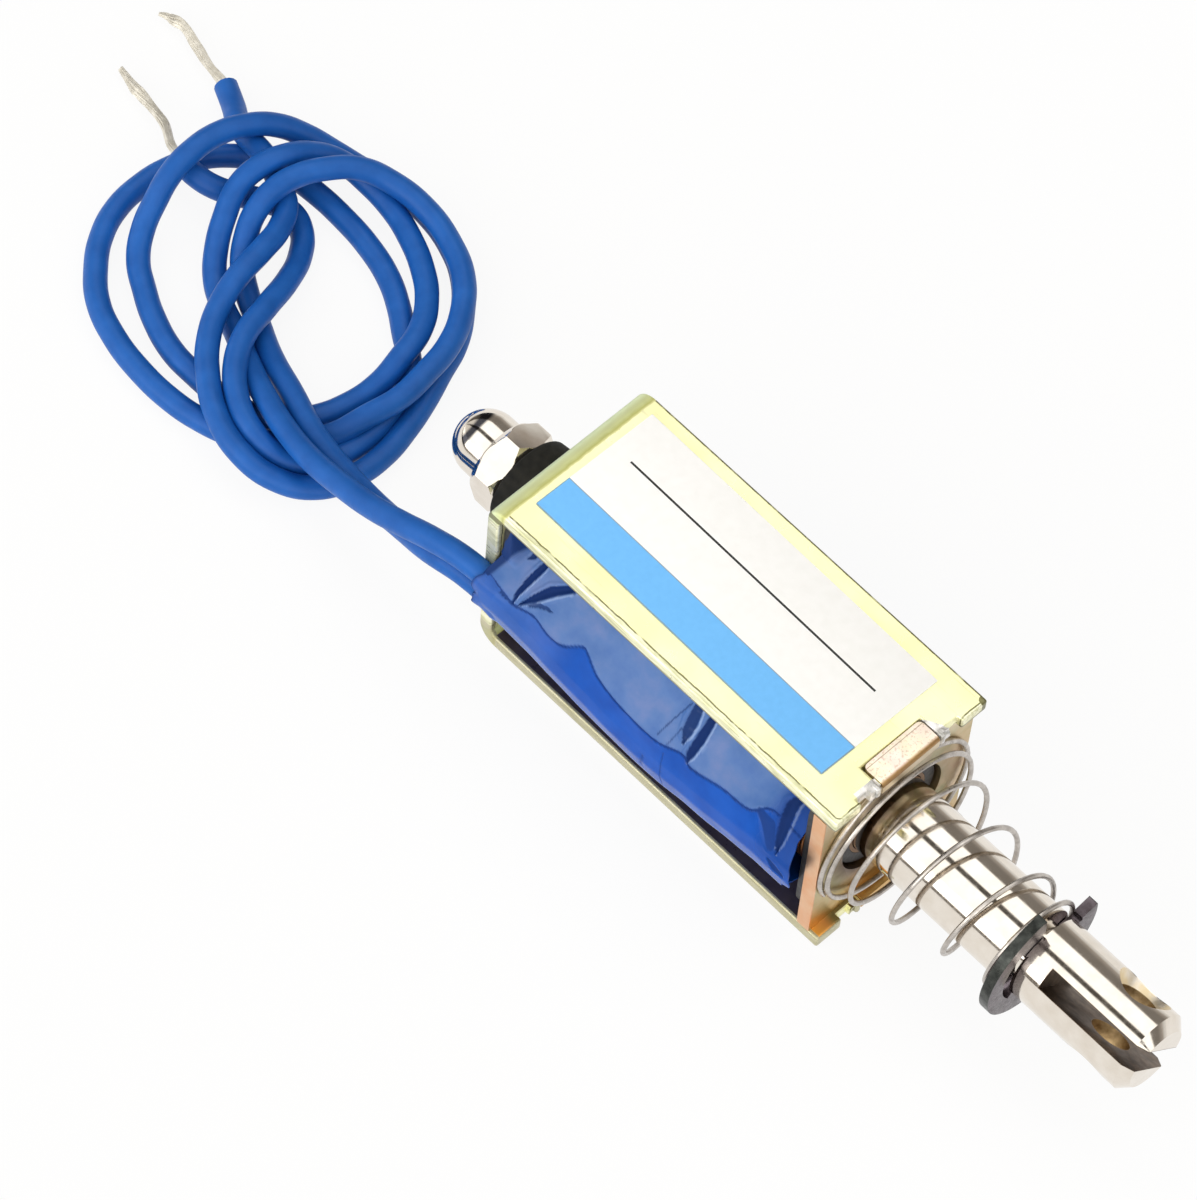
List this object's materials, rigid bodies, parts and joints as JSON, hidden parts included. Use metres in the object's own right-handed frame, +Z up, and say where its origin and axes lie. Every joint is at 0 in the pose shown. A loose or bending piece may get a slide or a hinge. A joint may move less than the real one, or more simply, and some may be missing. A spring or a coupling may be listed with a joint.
{
  "type": "linear solenoid",
  "caption": "Open-frame push-pull solenoid: plated steel frame, taped coil, sprung plunger with slotted clevis end, push rod with dome nut at the rear, and blue flying leads tied in a loose hank.",
  "frame": {"origin": "centre of the two base holes on the underside of the frame", "axes": "+X along the plunger towards its clevis end, +Z up through the label plate, -Y to the side with the taped leads"},
  "size_m": [0.0991, 0.0228, 0.0155],
  "materials": {
    "plated_steel": "pale yellow zinc plating, satin",
    "gold_plated_steel": "gold and pink zinc passivation, satin",
    "bare_steel": "turned steel",
    "black_plastic": "moulded, matt",
    "brass": "drawn tube",
    "copper": "enamelled wire",
    "blue_tape": "glossy polyester film",
    "label_film": "white film with a blue stripe, satin",
    "spring_wire": "drawn spring wire",
    "solder": "solder",
    "blue_insulation": "satin blue insulation",
    "tinned_strand": "tinned copper strands",
    "black_oxide": "black oxide, oiled",
    "nickel": "bright nickel plating",
    "black_rubber": "matt rubber"
  },
  "bodies": {
    "coil_unit": {"frame": "plated_steel", "front_plate": "gold_plated_steel", "fixed_core": "bare_steel", "bobbin": "black_plastic", "guide_tube": "brass", "coil_winding": "copper", "tape_wrap": "blue_tape", "label": "label_film", "return_spring": "spring_wire", "splice_a": "solder", "splice_b": "solder", "lead_a": "blue_insulation", "lead_b": "blue_insulation", "lead_hank": "blue_insulation", "bare_end_a": "tinned_strand", "bare_end_b": "tinned_strand"},
    "clip_ring": {"e_clip": "black_oxide"},
    "plunger_unit": {"plunger": "nickel", "push_rod": "bare_steel", "dome_nut": "nickel", "rubber_washer": "black_rubber"}
  },
  "joints": [
    {"name": "plunger_slide", "type": "slide", "parent": "coil_unit", "child": "clip_ring", "axis": [-1, 0, 0], "range_m": [0, 0.01], "stiffness_N_per_m": 60, "springref_m": -0.005, "deforming": ["return_spring"]},
    {"name": "plunger_spin", "type": "hinge", "parent": "clip_ring", "child": "plunger_unit", "pos_m": [0.0266, 0, 0.0077], "axis": [1, 0, 0], "continuous": true}
  ]
}
